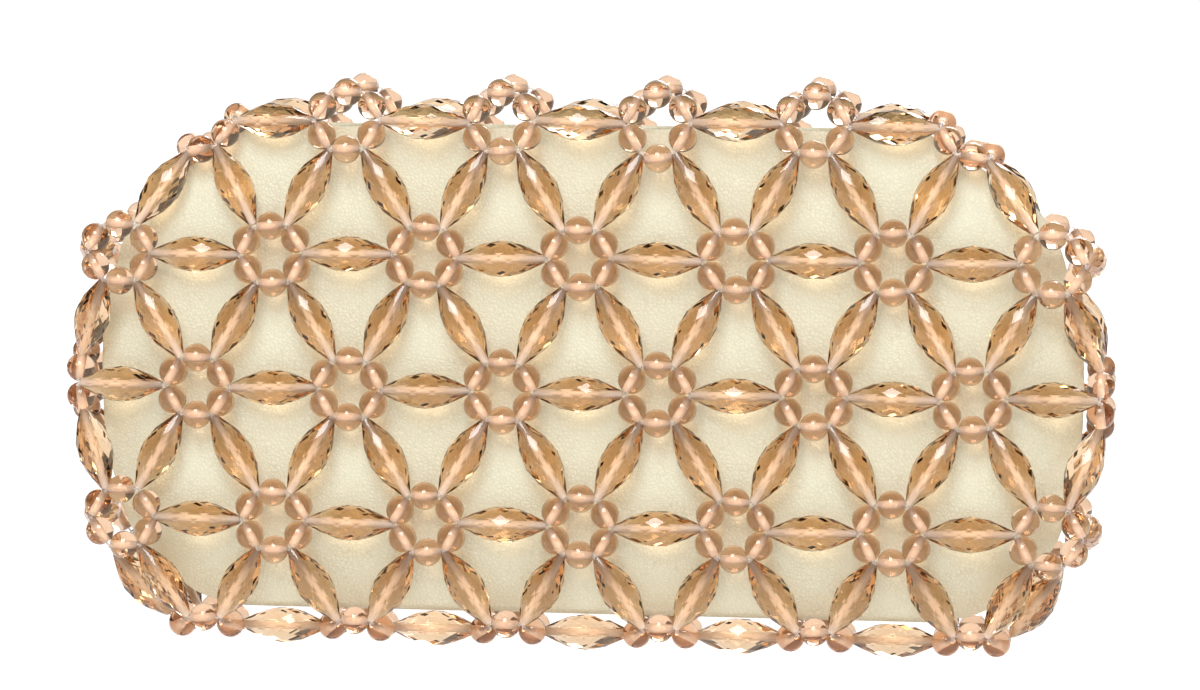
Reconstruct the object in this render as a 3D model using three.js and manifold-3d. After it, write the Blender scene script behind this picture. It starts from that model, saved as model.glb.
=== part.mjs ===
// Evening bag: a slim leather pouch with a recessed zip, held in an open net of plastic beads strung on
// nylon line. Millimetres, +Z up, +X along the bag, front towards -Y. The origin is at the centre of the
// base, on the surface that the bag stands on.
import * as THREE from "three";
import { mergeVertices } from "three/addons/utils/BufferGeometryUtils.js";
import Module from "manifold-3d";

const wasm = await Module();
wasm.setup();

// ---- Driving dimensions ----

const CLEAR = 0.3; // gap kept between neighbouring pieces

// Round beads sit in rings of six, and a long bead joins each ring to each of its neighbours.
const ROUND_BEAD = 6; // diameter
const RING_RADIUS = 6.33; // ring centre to bead centres
const JUNCTION_RADIUS = RING_RADIUS / Math.cos(Math.PI / 6); // ring centre to the crossings of the line
const LONG_BEAD = 19;
const LONG_BEAD_WIDTH = 8;
const LONG_BEAD_BAND = 5; // length of the widest stretch
const LINE_RADIUS = 0.6; // bundle of line where two beads meet
const RING_SIDES = 4;
const LONG_SIDES = 6;

// The rings stand in rows, each row half a pitch across from the last.
const PITCH = 34.2;
const ROW_STEP = 29.6;
const LOWEST_ROW = 29.3; // height of the lowest row on a face
const NET_HALF_DEPTH = 10; // middle plane to the ring planes
const BASE_Z = LONG_BEAD_WIDTH / 2; // centre height of the beads under the bag
const ROW_Z = [4, 3, 2, 1].map((steps) => LOWEST_ROW + (steps - 1) * ROW_STEP);
const EDGE_BEND = 7.8; // bend radius where the net goes round the edge of the pouch
const TOP_LEAN = THREE.MathUtils.degToRad(10); // top row, leaning in over the mouth
const CORNER = { x: 83.3, z: 114.5, slope: THREE.MathUtils.degToRad(33) };
const SIDE_X = 113;

// Pouch: two shells that meet in a seam at the middle plane, wedge-shaped towards that seam.
const POUCH_HALF = [[86, 8.3], [104, 24], [109.3, 48], [109.3, 72], [102, 98.3], [74, 116.5]];
const MOUTH_Z = 116.5;
const POUCH_HALF_DEPTH = 5.6;
const WEDGE = 16; // seam to the full depth
const LEATHER = 1.1;
const BOARD = 0.4;
const LINING = 0.3;
const LINING_INSET = 2.1; // leather's outer face to the lining
const BOARD_INSET = 19; // outline to the stiffener's edge
const BOARD_TOP = 92;
const LINING_TOP = 100.2;

// Zip, lying flat below the mouth.
const TAPE_Z = 103;
const TAPE = 0.4; // thickness
const TAPE_HALF = 62; // half length
const TAPE_LEG = 93; // lower edge of the part sewn behind the leather
const TEETH = { from: -54, to: 59, gap: 0.5, width: 1.4, low: 102.1, high: 104.3 };
const STOP_LENGTH = 2;
const SLIDER_X = 54; // closed
const SLIDER = { length: 9, width: 7, plate: 1, top: 104.6, bottom: 101.8 };
const LIP = { width: 0.6, clear: 0.4 }; // folded edges of the slider's plates, and their gap to the tapes
const DIVIDER = { length: 3, width: 0.5 }; // post that parts the teeth inside the slider
const BITE = 0.1; // overlap of the slider's own walls where they join
const BRIDGE = { length: 5.6, width: 1.2, post: 0.8, beam: 107.65, top: 108.25 };
const PULL = { length: 16, width: 5, thickness: 1.2, z: 106.6, eye: 3.1, eyeWidth: 2.4, bar: 1.1 };

const FAR = 200; // well outside the bag
const HAIR = 0.001; // a bevel too thin to matter

const X = new THREE.Vector3(1, 0, 0);
const Y = new THREE.Vector3(0, 1, 0);
const Z = new THREE.Vector3(0, 0, 1);

// ---- Solids ----

// A three.js geometry as a manifold solid.
function solidOf(geometry) {
  const bare = geometry.clone();
  bare.deleteAttribute("normal");
  bare.deleteAttribute("uv");
  const merged = mergeVertices(bare, 1e-4);
  return new wasm.Manifold(
    new wasm.Mesh({
      numProp: 3,
      vertProperties: new Float32Array(merged.attributes.position.array),
      triVerts: new Uint32Array(merged.index.array),
    }),
  );
}

// A manifold solid as a three.js geometry.
function geometryOf(solid) {
  const mesh = solid.getMesh();
  const geometry = new THREE.BufferGeometry();
  geometry.setAttribute("position", new THREE.BufferAttribute(new Float32Array(mesh.vertProperties), 3));
  geometry.setIndex(new THREE.BufferAttribute(new Uint32Array(mesh.triVerts), 1));
  geometry.computeVertexNormals();
  return geometry;
}

const joined = (solids) => solids.reduce((all, next) => all.add(next));

// A box between two corners.
function block(low, high) {
  const geometry = new THREE.BoxGeometry(high[0] - low[0], high[1] - low[1], high[2] - low[2]);
  return geometry.translate((low[0] + high[0]) / 2, (low[1] + high[1]) / 2, (low[2] + high[2]) / 2);
}

// ---- The net: rings ----

// A ring lies in the plane of `across` and `up`, with its first crossing at `turn` from `across`. A
// bent ring folds back about its `across` line, away from `out`.
function ring(centre, across, up, { bend = Infinity, turn = 0 } = {}) {
  return { centre, across, up, out: across.clone().cross(up), bend, turn };
}

// The point at (distance, angle) from a ring's centre, raised `lift` off the ring's surface.
function onRing({ centre, across, up, out, bend }, distance, angle, lift = 0) {
  const a = distance * Math.cos(angle);
  const b = distance * Math.sin(angle);
  const point = centre.clone().addScaledVector(across, a);
  if (bend === Infinity) return point.addScaledVector(up, b).addScaledVector(out, lift);
  const turned = b / bend;
  return point
    .addScaledVector(up, (bend + lift) * Math.sin(turned))
    .addScaledVector(out, (bend + lift) * Math.cos(turned) - bend);
}

const crossing = (r, degrees) => onRing(r, JUNCTION_RADIUS, THREE.MathUtils.degToRad(degrees));

// Six beads on their line: a torus whose section narrows to the line at the crossings.
function ringSolid(r) {
  const sections = 12;
  const geometry = new THREE.TorusGeometry(RING_RADIUS, ROUND_BEAD / 2, RING_SIDES, sections);
  const position = geometry.attributes.position;
  for (let side = 0; side <= RING_SIDES; side++) {
    for (let section = 0; section <= sections; section++) {
      const atCrossing = section % 2 === 0;
      const middle = atCrossing ? JUNCTION_RADIUS : RING_RADIUS;
      const thickness = atCrossing ? LINE_RADIUS : ROUND_BEAD / 2;
      const round = (2 * Math.PI * (side % RING_SIDES)) / RING_SIDES;
      const along = (2 * Math.PI * (section % sections)) / sections + r.turn;
      const point = onRing(r, middle + thickness * Math.cos(round), along, thickness * Math.sin(round));
      position.setXYZ(side * (sections + 1) + section, point.x, point.y, point.z);
    }
  }
  return solidOf(geometry);
}

// ---- The net: long beads ----

// A long bead between two crossings, with a flat side towards `facing`. A held end reaches into its
// ring's line, and a free end stops short.
function longBead(from, to, held = [true, true], facing = Y) {
  const span = from.distanceTo(to);
  const freeEnd = Math.min(LONG_BEAD / 2, span / 2 - LINE_RADIUS - CLEAR);
  const ends = held.map((isHeld) => (isHeld ? span / 2 : freeEnd));
  const flat = LONG_BEAD_WIDTH / 2 / Math.cos(Math.PI / LONG_SIDES);
  const profile = [
    new THREE.Vector2(0, -ends[0]),
    new THREE.Vector2(flat, -LONG_BEAD_BAND / 2),
    new THREE.Vector2(flat, LONG_BEAD_BAND / 2),
    new THREE.Vector2(0, ends[1]),
  ];
  const geometry = new THREE.LatheGeometry(profile, LONG_SIDES, Math.PI / LONG_SIDES);
  const along = to.clone().sub(from).normalize();
  const flatSide = facing.clone().addScaledVector(along, -facing.dot(along)).normalize();
  const basis = new THREE.Matrix4().makeBasis(along.clone().cross(flatSide), along, flatSide);
  basis.setPosition(from.clone().add(to).multiplyScalar(0.5));
  return solidOf(geometry.applyMatrix4(basis));
}

// ---- The net: layout ----

const places = (count) => Array.from({ length: count }, (_, i) => (i - (count - 1) / 2) * PITCH);

// One face of the net. `front` is -1 for the face at -Y and +1 for the one at +Y.
function faceRings(front) {
  const centre = (x, z) => new THREE.Vector3(x, front * NET_HALF_DEPTH, z);
  const leaning = new THREE.Vector3(0, -front * Math.sin(TOP_LEAN), Math.cos(TOP_LEAN));
  return [
    places(4).map((x) => ring(centre(x, ROW_Z[0]), X, leaning)),
    places(7).map((x) => ring(centre(x, ROW_Z[1]), X, Z)),
    places(6).map((x) => ring(centre(x, ROW_Z[2]), X, Z)),
    places(7).map((x) => ring(centre(x, ROW_Z[3]), X, Z)),
  ];
}
const faces = { front: faceRings(-1), back: faceRings(1) };

// Rings that both faces share. Their `up` points to the front.
const FORWARD = new THREE.Vector3(0, -1, 0);
const baseRings = places(6).map((x) => {
  return ring(new THREE.Vector3(x, 0, BASE_Z), X, FORWARD, { bend: EDGE_BEND });
});

function cornerRing(side) {
  const centre = new THREE.Vector3(side * CORNER.x, 0, CORNER.z);
  const leftward = new THREE.Vector3(-Math.cos(CORNER.slope), 0, side * Math.sin(CORNER.slope));
  return ring(centre, leftward, FORWARD, { bend: EDGE_BEND, turn: Math.PI / 6 });
}
const sideRing = (side) => ring(new THREE.Vector3(side * SIDE_X, 0, ROW_Z[2]), FORWARD, Z);

// A corner ring's crossing on one face: 30 degrees is the one nearest the mouth, 90 the middle one and
// 150 the outer one.
function cornerCrossing(side, y, degrees) {
  const fromLeft = side < 0 ? 180 - degrees : degrees;
  return crossing(cornerRing(side), y < 0 ? fromLeft : -fromLeft);
}

// The rest of each node: its rings, and its long beads as [from, to, held ends].
const HANGING = [true, false];

function faceRow(face, row) {
  const rings = faces[face][row];
  const y = Math.sign(rings[0].centre.y);
  const beads = rings.slice(1).map((r, i) => [crossing(rings[i], 0), crossing(r, 180)]);
  const last = rings.length - 1;
  if (row === 0) {
    for (const side of [-1, 1]) {
      const end = side < 0 ? crossing(rings[0], 180) : crossing(rings[last], 0);
      beads.push([end, cornerCrossing(side, y, 30), HANGING]);
    }
  }
  if (row === 2) {
    for (const side of [-1, 1]) {
      const end = side < 0 ? crossing(rings[0], 180) : crossing(rings[last], 0);
      beads.push([end, crossing(sideRing(side), y < 0 ? 0 : 180), HANGING]);
    }
  }
  // Long beads down to the next row.
  rings.forEach((r, i) => {
    for (const [degrees, step] of [[240, -1], [300, 1]]) {
      const below = lowerCrossing(face, row, r.centre.x, step, y);
      if (below) beads.push([crossing(r, degrees), below, HANGING]);
    }
  });
  return joined([...rings.map(ringSolid), ...beads.map((b) => longBead(...b))]);
}

// The crossing that a long bead going down from a ring at x reaches, half a pitch to the left or right.
function lowerCrossing(face, row, x, step, y) {
  const side = Math.sign(x) || step;
  const target = x + (step * PITCH) / 2;
  const lower = row === 3 ? baseRings : faces[face][row + 1];
  const found = lower.find((r) => Math.abs(r.centre.x - target) < 1);
  const degrees = step < 0 ? 60 : 120;
  if (row === 3) {
    if (!found) return crossing(baseRings[side < 0 ? 0 : baseRings.length - 1], side < 0 ? 180 : 0);
    return crossing(found, y < 0 ? degrees : 360 - degrees);
  }
  if (found) return crossing(found, degrees);
  return crossing(sideRing(side), y < 0 ? 60 : 120);
}

// A corner ring with its four hanging long beads, two down each face.
function cornerPiece(side) {
  const r = cornerRing(side);
  const beads = [];
  for (const [face, y] of [["front", -1], ["back", 1]]) {
    const row = faces[face][1];
    const outer = side < 0 ? row[0] : row[6];
    const inner = side < 0 ? row[1] : row[5];
    beads.push([cornerCrossing(side, y, 90), crossing(inner, side < 0 ? 120 : 60), HANGING]);
    beads.push([cornerCrossing(side, y, 150), crossing(outer, side < 0 ? 60 : 120), HANGING]);
  }
  return joined([ringSolid(r), ...beads.map((b) => longBead(...b))]);
}

// A side ring with the two long beads that hang from it.
function sidePiece(side) {
  const r = sideRing(side);
  const beads = [["front", 300], ["back", 240]].map(([face, degrees]) => {
    const row = faces[face][3];
    return [crossing(r, degrees), crossing(side < 0 ? row[0] : row[6], side < 0 ? 120 : 60), HANGING];
  });
  return joined([ringSolid(r), ...beads.map((b) => longBead(...b))]);
}

function baseRow() {
  const beads = baseRings.slice(1).map((r, i) => [crossing(baseRings[i], 0), crossing(r, 180)]);
  const solids = beads.map(([from, to]) => longBead(from, to, [true, true], Z));
  return joined([...baseRings.map(ringSolid), ...solids]);
}

// The long bead that ties the end rings of the two faces across the side.
function tieBead(side, row) {
  const end = (face) => crossing(faces[face][row][side < 0 ? 0 : 6], side < 0 ? 180 : 0);
  return longBead(end("front"), end("back"), [false, false], X);
}

// ---- The pouch ----

function outline(top) {
  const shape = new THREE.Shape();
  const right = [...POUCH_HALF, [POUCH_HALF.at(-1)[0], top]];
  shape.moveTo(...right[0]);
  right.slice(1).forEach(([x, z]) => shape.lineTo(x, z));
  right.toReversed().forEach(([x, z]) => shape.lineTo(-x, z));
  return shape;
}

// The pouch's shape, `inset` inside its outer face all round. It runs on above the mouth.
function pouchForm(inset) {
  const slope = Math.atan(POUCH_HALF_DEPTH / WEDGE);
  const edge = inset / Math.sin(slope);
  const run = (POUCH_HALF_DEPTH - inset) / Math.tan(slope);
  const geometry = new THREE.ExtrudeGeometry(outline(FAR), {
    depth: 10 * HAIR,
    bevelSegments: 1,
    bevelThickness: POUCH_HALF_DEPTH - inset,
    bevelSize: run,
    bevelOffset: -edge - run,
  });
  return solidOf(geometry.translate(0, 0, -5 * HAIR).rotateX(Math.PI / 2));
}

// The half of the space on one face of the bag, below z. `from` is its distance from the middle plane.
function halfSpace(side, from, z) {
  const low = side < 0 ? [-FAR, -FAR, -FAR] : [-FAR, from, -FAR];
  const high = side < 0 ? [FAR, -from, z] : [FAR, FAR, z];
  return solidOf(block(low, high));
}

function shell(side, inset, thickness, top) {
  const hollow = pouchForm(inset).subtract(pouchForm(inset + thickness));
  return hollow.intersect(halfSpace(side, CLEAR / 2, top));
}

// The flat stiffener between the leather and the lining.
function board(side) {
  const outer = POUCH_HALF_DEPTH - LEATHER - CLEAR;
  const geometry = new THREE.ExtrudeGeometry(outline(FAR), {
    depth: BOARD,
    bevelSegments: 1,
    bevelThickness: HAIR,
    bevelSize: HAIR,
    bevelOffset: -BOARD_INSET,
  });
  geometry.rotateX(Math.PI / 2).translate(0, side < 0 ? -outer + BOARD : outer, 0);
  return solidOf(geometry).intersect(halfSpace(side, CLEAR, BOARD_TOP));
}

// ---- The zip ----

const onSide = (side, low, high, geometry) =>
  geometry(side < 0 ? [low[0], -high[1], low[2]] : low, side < 0 ? [high[0], -low[1], high[2]] : high);

// The tape lies flat beside the teeth and turns down behind the leather, where it is sewn.
function tape(side) {
  const outer = POUCH_HALF_DEPTH - LEATHER - CLEAR;
  const inner = TEETH.gap + TEETH.width + CLEAR;
  const corner = [TAPE_HALF, outer, TAPE_Z + TAPE];
  const flat = onSide(side, [-TAPE_HALF, inner, TAPE_Z], corner, block);
  const leg = onSide(side, [-TAPE_HALF, outer - TAPE, TAPE_LEG], corner, block);
  return solidOf(flat).add(solidOf(leg));
}

function teeth(side) {
  const { from, to, gap, width, low, high } = TEETH;
  return solidOf(onSide(side, [from, gap, low], [to, gap + width, high], block));
}

function stop(side) {
  const start = side < 0 ? TEETH.from - CLEAR - STOP_LENGTH : TEETH.to + CLEAR;
  const half = TEETH.gap + TEETH.width;
  return solidOf(block([start, -half, TEETH.low], [start + STOP_LENGTH, half, TEETH.high]));
}

function slider() {
  const { length, width, plate, top, bottom } = SLIDER;
  const x = length / 2;
  const y = width / 2;
  const pieces = [
    block([-x, -y, top], [x, y, top + plate]),
    block([-x, -y, bottom - plate], [x, y, bottom]),
    block([x - DIVIDER.length, -DIVIDER.width / 2, bottom - BITE], [x, DIVIDER.width / 2, top + BITE]),
  ];
  for (const side of [-1, 1]) {
    pieces.push(onSide(side, [-x, y - LIP.width, TAPE_Z + TAPE + LIP.clear], [x, y, top + BITE], block));
    pieces.push(onSide(side, [-x, y - LIP.width, bottom - BITE], [x, y, TAPE_Z - LIP.clear], block));
  }
  const half = BRIDGE.length / 2;
  const arm = BRIDGE.width / 2;
  pieces.push(block([-half, -arm, BRIDGE.beam], [half, arm, BRIDGE.top]));
  pieces.push(block([-half, -arm, top], [-half + BRIDGE.post, arm, BRIDGE.top]));
  pieces.push(block([half - BRIDGE.post, -arm, top], [half, arm, BRIDGE.top]));
  return joined(pieces.map(solidOf));
}

// The pull: a rounded tab with an eye, its end bar held under the slider's bridge.
function pull() {
  const { length, width, thickness, eye, eyeWidth, bar } = PULL;
  const y = width / 2;
  const shape = new THREE.Shape();
  shape.moveTo(bar / 2, -y);
  shape.lineTo(bar / 2, y);
  shape.lineTo(-length + y, y);
  shape.absarc(-length + y, 0, y, Math.PI / 2, (3 * Math.PI) / 2, false);
  const hole = new THREE.Path();
  hole.moveTo(-bar / 2, -eyeWidth / 2);
  hole.lineTo(-bar / 2, eyeWidth / 2);
  hole.lineTo(-bar / 2 - eye, eyeWidth / 2);
  hole.lineTo(-bar / 2 - eye, -eyeWidth / 2);
  shape.holes.push(hole);
  const options = { depth: thickness, bevelEnabled: false, curveSegments: 8 };
  const geometry = new THREE.ExtrudeGeometry(shape, options);
  return solidOf(geometry.translate(0, 0, -thickness / 2));
}

// ---- The bag ----

const finishes = {
  roundBeads: { color: "#b98d6c", roughness: 0.15, metalness: 0 },
  longBeads: { color: "#c9a783", roughness: 0.12, metalness: 0 },
  leather: { color: "#e2d9c0", roughness: 0.6, metalness: 0 },
  board: { color: "#b9a888", roughness: 0.9, metalness: 0 },
  lining: { color: "#d8c8ac", roughness: 0.8, metalness: 0 },
  tape: { color: "#d3c6a8", roughness: 0.85, metalness: 0 },
  metal: { color: "#c9a86a", roughness: 0.3, metalness: 1 },
};

const bag = new THREE.Group();

function add(name, finish, solid, place = [0, 0, 0]) {
  const mesh = new THREE.Mesh(geometryOf(solid), new THREE.MeshStandardMaterial(finishes[finish]));
  mesh.name = name;
  mesh.position.set(...place);
  bag.add(mesh);
}

for (const face of ["front", "back"]) {
  for (const row of [0, 1, 2, 3]) add(`net_row_${row + 1}_${face}`, "longBeads", faceRow(face, row));
}
add("net_base_row", "longBeads", baseRow());
for (const [name, side] of [["left", -1], ["right", 1]]) {
  add(`net_corner_${name}`, "roundBeads", cornerPiece(side));
  add(`net_side_ring_${name}`, "roundBeads", sidePiece(side));
  add(`net_tie_upper_${name}`, "longBeads", tieBead(side, 1));
  add(`net_tie_lower_${name}`, "longBeads", tieBead(side, 3));
  add(`zip_stop_${name}`, "metal", stop(side));
}
for (const [name, side] of [["front", -1], ["back", 1]]) {
  add(`leather_${name}`, "leather", shell(side, 0, LEATHER, MOUTH_Z));
  add(`board_${name}`, "board", board(side));
  add(`lining_${name}`, "lining", shell(side, LINING_INSET, LINING, LINING_TOP));
  add(`zip_tape_${name}`, "tape", tape(side));
  add(`zip_teeth_${name}`, "metal", teeth(side));
}
add("zip_slider", "metal", slider(), [SLIDER_X, 0, 0]);
add("zip_pull", "metal", pull(), [SLIDER_X, 0, PULL.z]);

export default bag;
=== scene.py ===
"""Evening bag: a cream leather pouch with a recessed zip, held in an open net of clear tinted beads."""

import math

import bmesh
import bpy
import numpy as np
from bpy.props import FloatProperty, FloatVectorProperty, IntProperty, PointerProperty
from mathutils import Matrix, Vector


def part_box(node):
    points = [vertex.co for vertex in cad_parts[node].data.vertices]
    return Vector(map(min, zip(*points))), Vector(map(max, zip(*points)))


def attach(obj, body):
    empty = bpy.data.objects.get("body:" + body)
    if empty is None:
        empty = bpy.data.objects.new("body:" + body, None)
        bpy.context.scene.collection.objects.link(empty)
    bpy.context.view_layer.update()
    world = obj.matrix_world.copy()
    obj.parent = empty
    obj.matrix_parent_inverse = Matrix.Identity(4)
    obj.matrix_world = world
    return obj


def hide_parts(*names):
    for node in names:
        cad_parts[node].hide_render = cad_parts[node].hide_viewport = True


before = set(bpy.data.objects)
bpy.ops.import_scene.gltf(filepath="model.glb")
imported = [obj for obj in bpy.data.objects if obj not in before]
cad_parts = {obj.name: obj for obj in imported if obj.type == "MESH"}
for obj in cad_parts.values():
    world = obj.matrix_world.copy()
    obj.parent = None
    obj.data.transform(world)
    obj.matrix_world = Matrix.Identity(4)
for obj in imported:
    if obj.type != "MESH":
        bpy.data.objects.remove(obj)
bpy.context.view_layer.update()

bl_info = {
    "name": "Evening Bag",
    "version": (1, 0, 0),
    "blender": (4, 5, 0),
    "location": "View3D > Sidebar > Evening Bag",
    "description": "Builds a leather pouch in a net of beads round its packed frame",
    "category": "Object",
}

MM = 0.001
BODY = "bag"
X = np.array([1.0, 0.0, 0.0])
Z = np.array([0.0, 0.0, 1.0])
FORWARD = np.array([0.0, -1.0, 0.0])

# The bag's hand-made unevenness is drawn from these seeds, so that it is the same every time.
RING_SEED, BEAD_SEED, LINE_SEED = 7, 11, 5


def linear(hex_colour):
    """The linear RGBA of an sRGB hex colour."""
    parts = [int(hex_colour[i : i + 2], 16) / 255 for i in (1, 3, 5)]
    return [p / 12.92 if p <= 0.04045 else ((p + 0.055) / 1.055) ** 2.4 for p in parts] + [1.0]


# ---- Sizes and colours ----


def length(name, description, millimetres):
    """A size property in metres whose default is given in millimetres."""
    return FloatProperty(
        name=name, description=description, default=millimetres * MM, min=0, unit="LENGTH", precision=5
    )


def slant(name, description, degrees):
    """An angle property whose default is given in degrees."""
    return FloatProperty(name=name, description=description, default=math.radians(degrees), subtype="ANGLE")


def colour(name, description, hex_colour):
    """A colour property whose default is given as sRGB hex."""
    tint = linear(hex_colour)
    return FloatVectorProperty(
        name=name, description=description, default=tint, size=4, min=0, max=1, subtype="COLOR"
    )


class BeadSizes(bpy.types.PropertyGroup):
    round_bead: length("Round bead", "Diameter of a round bead", 6.25)
    long_bead: length("Long bead", "Length of a long bead", 19.25)
    long_width: length("Long bead width", "Diameter of a long bead at its middle", 8)
    long_tip: length("Long bead tip", "Diameter of a long bead at its ends", 1.65)
    bore: length("Bore", "Diameter of the hole through each bead", 1.3)
    line: length("Line", "Diameter of the nylon line", 0.3)
    facets: IntProperty(name="Facets", description="Facets round a long bead", default=10, min=6)
    play: length("Play", "How far a bead sits off its line", 0.12)
    loose: length("Loose bead", "How far one bead of the top row hangs off its ring", 1.2)
    wobble: slant("Wobble", "How far a ring may be turned in its place", 3)


class NetSizes(bpy.types.PropertyGroup):
    ring_radius: length("Ring radius", "Middle of a ring to the middle of its beads", 6.33)
    pitch: length("Pitch", "Middle of a ring to the next in its row", 34.2)
    row_step: length("Row step", "Height from one row to the next", 29.6)
    lowest_row: length("Lowest face row", "Height of the lowest row on a face", 29.3)
    base_height: length("Base row", "Height of the rings under the bag", 4)
    half_depth: length("Half depth", "Middle of the bag to the middle of a face's rings", 10)
    edge_bend: length("Edge bend", "Bend radius of the rings that fold round an edge", 7.8)
    corner_x: length("Corner across", "Middle of the bag to a corner ring", 83.3)
    corner_z: length("Corner height", "Height of a corner ring", 114.5)
    side_x: length("Side across", "Middle of the bag to a side ring", 113)
    top_lean: slant("Top lean", "How far the top row leans in over the mouth", 10)
    corner_slope: slant("Corner slope", "Slope of a corner ring", 33)


class PouchSizes(bpy.types.PropertyGroup):
    half_depth: length("Half depth", "Middle of the pouch to its outer face", 5.6)
    wedge: length("Wedge", "Seam to where the pouch has its full depth", 16)
    leather: length("Leather", "Thickness of the leather", 1.1)
    corner: length("Corner", "How far from a corner the outline starts to round", 9)
    grain: length("Grain", "Size of a pebble in the leather", 0.95)
    ripple: length("Ripple", "How deep the leather's soft hollows are", 0.2)
    thread: length("Thread", "Spacing of the threads in the lining", 0.35)


class Colours(bpy.types.PropertyGroup):
    round_acrylic: colour("Round beads", "Surface tint of the round beads", "#f8efe9")
    long_acrylic: colour("Long beads", "Surface tint of the long beads", "#f8f2ea")
    round_dye: colour("Round dye", "Dye inside the round beads", "#e8bf7e")
    long_dye: colour("Long dye", "Dye inside the long beads", "#eed19f")
    bore: colour("Bores", "Tint of the frosted bores", "#fbeee4")
    nylon: colour("Line", "Tint of the nylon line", "#f2e8e0")
    leather: colour("Leather", "Main colour of the leather", "#dedcc6")
    # Painted shade: the creases between the leather's pebbles are painted in this darker colour.
    leather_crease_shade: colour("Leather creases", "Colour between the leather's pebbles", "#bdb291")
    lining: colour("Lining", "Colour of the lining", "#cdbb9a")
    tape: colour("Tape", "Colour of the zip tape", "#dcd2b6")
    metal: colour("Zip metal", "Colour of the zip's metal", "#d8b777")
    board: colour("Boards", "Colour of the fibre boards", "#b9a888")
    floor: colour("Floor", "Colour of the floor", "#a9a8a6")


# ---- Materials ----

DYE_DENSITY = 175  # per metre, so that a bead's tint deepens over its own few millimetres
DYE_DRIFT = 14 * MM  # how far apart the paler and deeper beads of a batch fall
CREASE_SHADE_PATCH = 6 * MM  # patches where the painted shade in the leather's creases is deeper
EMBOSSING = 0.09 * MM  # depth of the leather's creases, drawn a little deep so that they show
THREAD_RELIEF = 0.08 * MM  # how far a thread of the weave stands up
HANDLING = 1.5 * MM  # marks that handling leaves on polished metal
FIBRE = 0.8 * MM  # fibres pressed into the board
WAVE_UNIT = 20  # radians that a wave pattern turns through in each unit at scale 1


def add_node(tree, kind, values=None, links=None, **settings):
    """A new node with its socket values, its links and its own settings."""
    made = tree.nodes.new(kind)
    for name, value in settings.items():
        setattr(made, name, value)
    for socket, value in (values or {}).items():
        made.inputs[socket].default_value = value
    for socket, source in (links or {}).items():
        tree.links.new(source, made.inputs[socket])
    return made


def new_material(name):
    """An empty material and its node tree."""
    made = bpy.data.materials.new(name)
    made.use_nodes = True
    made.node_tree.nodes.clear()
    return made, made.node_tree


def acrylic(name, tint, roughness, ior=1.49, spread=0.04, dye=None, clear=1.0):
    """Cast acrylic, dyed through and tumbled: sharp glints on a depth that darkens where it is thick."""
    made, tree = new_material(name)
    place = add_node(tree, "ShaderNodeTexCoord").outputs["Object"]
    clouds = add_node(tree, "ShaderNodeTexNoise", {"Scale": 1 / DYE_DRIFT, "Detail": 1}, {"Vector": place})
    ramp = add_node(tree, "ShaderNodeValToRGB", links={"Fac": clouds.outputs["Fac"]})
    ramp.color_ramp.elements[0].position = 0.35
    ramp.color_ramp.elements[1].position = 0.65
    ramp.color_ramp.elements[0].color = [c * (1 - spread) for c in tint[:3]] + [1]
    ramp.color_ramp.elements[1].color = [min(1, c * (1 + spread)) for c in tint[:3]] + [1]
    body = add_node(
        tree,
        "ShaderNodeBsdfPrincipled",
        {"Roughness": roughness, "IOR": ior, "Transmission Weight": clear},
        {"Base Color": ramp.outputs["Color"]},
    )
    facing = add_node(tree, "ShaderNodeLayerWeight", {"Blend": 0.5})
    focus = add_node(
        tree,
        "ShaderNodeMapRange",
        {"From Min": 0.1, "From Max": 0.8, "To Min": 0.45, "To Max": 0.07},
        {"Value": facing.outputs["Facing"]},
    )
    # A bead gathers light: its shadow is bright in the middle and deep at its rim.
    inside = add_node(tree, "ShaderNodeNewGeometry").outputs["Backfacing"]
    passed = add_node(tree, "ShaderNodeMath", links={0: focus.outputs[0], 1: inside}, operation="MAXIMUM")
    lamp = add_node(tree, "ShaderNodeBsdfTransparent", links={"Color": passed.outputs[0]})
    path = add_node(tree, "ShaderNodeLightPath")
    mixed = add_node(
        tree,
        "ShaderNodeMixShader",
        links={0: path.outputs["Is Shadow Ray"], 1: body.outputs[0], 2: lamp.outputs[0]},
    )
    out = add_node(tree, "ShaderNodeOutputMaterial", links={"Surface": mixed.outputs[0]})
    if dye:
        depth = add_node(tree, "ShaderNodeVolumeAbsorption", {"Color": dye, "Density": DYE_DENSITY})
        tree.links.new(depth.outputs[0], out.inputs["Volume"])
    return made


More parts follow.
